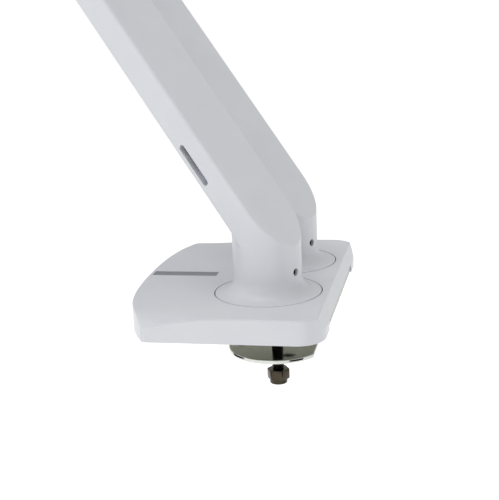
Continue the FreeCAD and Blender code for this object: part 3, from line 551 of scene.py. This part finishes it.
disc = add_cylinder("chromed_clamp_disc", DISC_R, disc_high.z - DISC_T, disc_high.z, disc_axis, sides=160)
pick(disc, test_face=lambda face: True)
bpy.ops.mesh.bisect(plane_co=(0, disc_high.y, 0), plane_no=(0, 1, 0), clear_outer=True, use_fill=True)
bevel_edges(disc, sharp_rim, RIM_ROUND, segments=4)
print("disc's straight edge is", round((disc_high.y - rod_axis.y) / MM, 1), "mm from its axis")

# %% Add the disc's hub
HUB_R = 9.0 * MM
HUB_IN_DISC = 0.2 * MM
HUB_BREAK = 0.6 * MM
hub = add_cylinder("hub", HUB_R, disc_low.z, disc_high.z - DISC_T + HUB_IN_DISC, disc_axis, sides=48)
bevel_edges(hub, on_lower_rim, HUB_BREAK, segments=2)
join(disc, hub)
settle(disc, "clamp_disc", "chrome", "clamp_disc", angle=30)

# %% [markdown]
# ## Nut and locking collar
# The nut is forged: a hexagon whose corners and ends are rounded over. It is a six-sided
# cylinder with its corners rounded first and its two rims after, so that the rims' bevels
# run round the corners. A turned collar below it grips the thread.

# %% Shape the nut
NUT_CORNER = 1.1 * MM
NUT_END = 1.0 * MM
nut_low, nut_high = corners("drive_nut")
nut = add_cylinder("forged_nut", HEX_R, nut_low.z, nut_high.z, rod_axis, sides=6)
bevel_edges(nut, up_the_side, NUT_CORNER, segments=4)
bevel_edges(nut, on_a_rim, NUT_END, segments=3)
settle(nut, "clamp_screw", "bronzed_steel", "drive_nut", angle=30)

# %% Shape the locking collar
COLLAR_R = 7.5 * MM
COLLAR_ROUND = 0.9 * MM
COLLAR_WALL = 2.2 * MM
COLLAR_RECESS = 0.5 * MM
FACING_DOWN = -0.999
collar = add_cylinder("locking_collar", COLLAR_R, corners("locking_ring")[0].z, nut_low.z, rod_axis)
bevel_edges(collar, on_lower_rim, COLLAR_ROUND, segments=4)
pick(collar, test_face=lambda face: face.normal.z < FACING_DOWN)
bpy.ops.mesh.inset(thickness=COLLAR_WALL)
bpy.ops.mesh.extrude_region_move(
    TRANSFORM_OT_translate={"value": (0, 0, COLLAR_RECESS), "orient_type": "GLOBAL"})
settle(collar, "clamp_screw", "bronzed_steel", "locking_ring", angle=30)

# %% [markdown]
# ## Floor and light
# A plain white floor lies well below the clamp and glows a little, as a lit sweep does, so
# its shadow is too soft to see. The sky is an evenly lit light tent. Broad lamps above, in
# front and to the right give the faces their shape. Two low black flags are seen only by
# mirror-like metal: they draw dark bands along the disc's rim, which would vanish into the
# white floor without them.

# %% Floor and sky
WHITE = (1, 1, 1, 1)
FLOOR_Z = -0.5
FLOOR_SIZE = 60.0
FLOOR_GLOW = 0.42
SKY = 0.6


def lay_floor():
    """A wide pale floor below the clamp."""
    deselect()
    bpy.ops.mesh.primitive_plane_add(size=FLOOR_SIZE, location=(0, 0, FLOOR_Z))
    floor = bpy.context.object
    floor.name = "floor"
    material, tree, shader = new_material("white studio floor", Roughness=0.9)
    shader.inputs["Base Color"].default_value = WHITE
    shader.inputs["Emission Color"].default_value = WHITE
    shader.inputs["Emission Strength"].default_value = FLOOR_GLOW
    floor.data.materials.append(material)


def light_sky():
    """Even pale light from all round."""
    world = bpy.data.worlds.new("studio")
    world.use_nodes = True
    background = world.node_tree.nodes["Background"]
    background.inputs["Color"].default_value = WHITE
    background.inputs["Strength"].default_value = SKY
    bpy.context.scene.world = world


lay_floor()
light_sky()
print("floor at", FLOOR_Z, "m")

# %% Lamps
AIM = (0, 0, 0.12)


def add_lamp(name, place, size, watts):
    """A square soft lamp aimed at the base of the arms."""
    data = bpy.data.lights.new(name, "AREA")
    data.shape = "SQUARE"
    data.size = size
    data.energy = watts
    lamp = bpy.data.objects.new(name, data)
    lamp.location = place
    lamp.rotation_euler = (Vector(AIM) - Vector(place)).to_track_quat("-Z", "Y").to_euler()
    bpy.context.scene.collection.objects.link(lamp)


add_lamp("camera_side_lamp", (2.2, -0.7, 0.8), size=1.4, watts=5.5)
add_lamp("top_lamp", (0.1, -0.4, 2.3), size=1.6, watts=15.0)
add_lamp("top_front_lamp", (0.2, -1.6, 1.8), size=1.4, watts=4.0)
add_lamp("front_lamp", (0.3, -2.2, 0.8), size=1.4, watts=3.0)
print("lamps aimed at", AIM)

# %% Flags
FLAG_BLACK = "101012"
FLAG_AWAY = 1.0
FLAG_LOW = -0.49
FLAG_HIGH = -0.08
FLAG_T = 0.01


def add_flag(name, heading_deg, width):
    """An upright black card facing the clamp, seen only in reflections."""
    deselect()
    heading = math.radians(heading_deg)
    place = (FLAG_AWAY * math.cos(heading), FLAG_AWAY * math.sin(heading), (FLAG_LOW + FLAG_HIGH) / 2)
    bpy.ops.mesh.primitive_cube_add(size=1, location=place)
    flag = bpy.context.object
    flag.name = name
    flag.rotation_euler.z = heading
    flag.scale = (FLAG_T, width, FLAG_HIGH - FLAG_LOW)
    material, tree, shader = new_material(name, Roughness=1.0)
    shader.inputs["Base Color"].default_value = linear(FLAG_BLACK)
    flag.data.materials.append(material)
    flag.visible_camera = flag.visible_diffuse = flag.visible_shadow = False


add_flag("left_flag", heading_deg=-95, width=0.75)
add_flag("right_flag", heading_deg=54, width=0.6)
bpy.context.scene.view_settings.view_transform = "Standard"
print("two flags", FLAG_AWAY, "m from the clamp")
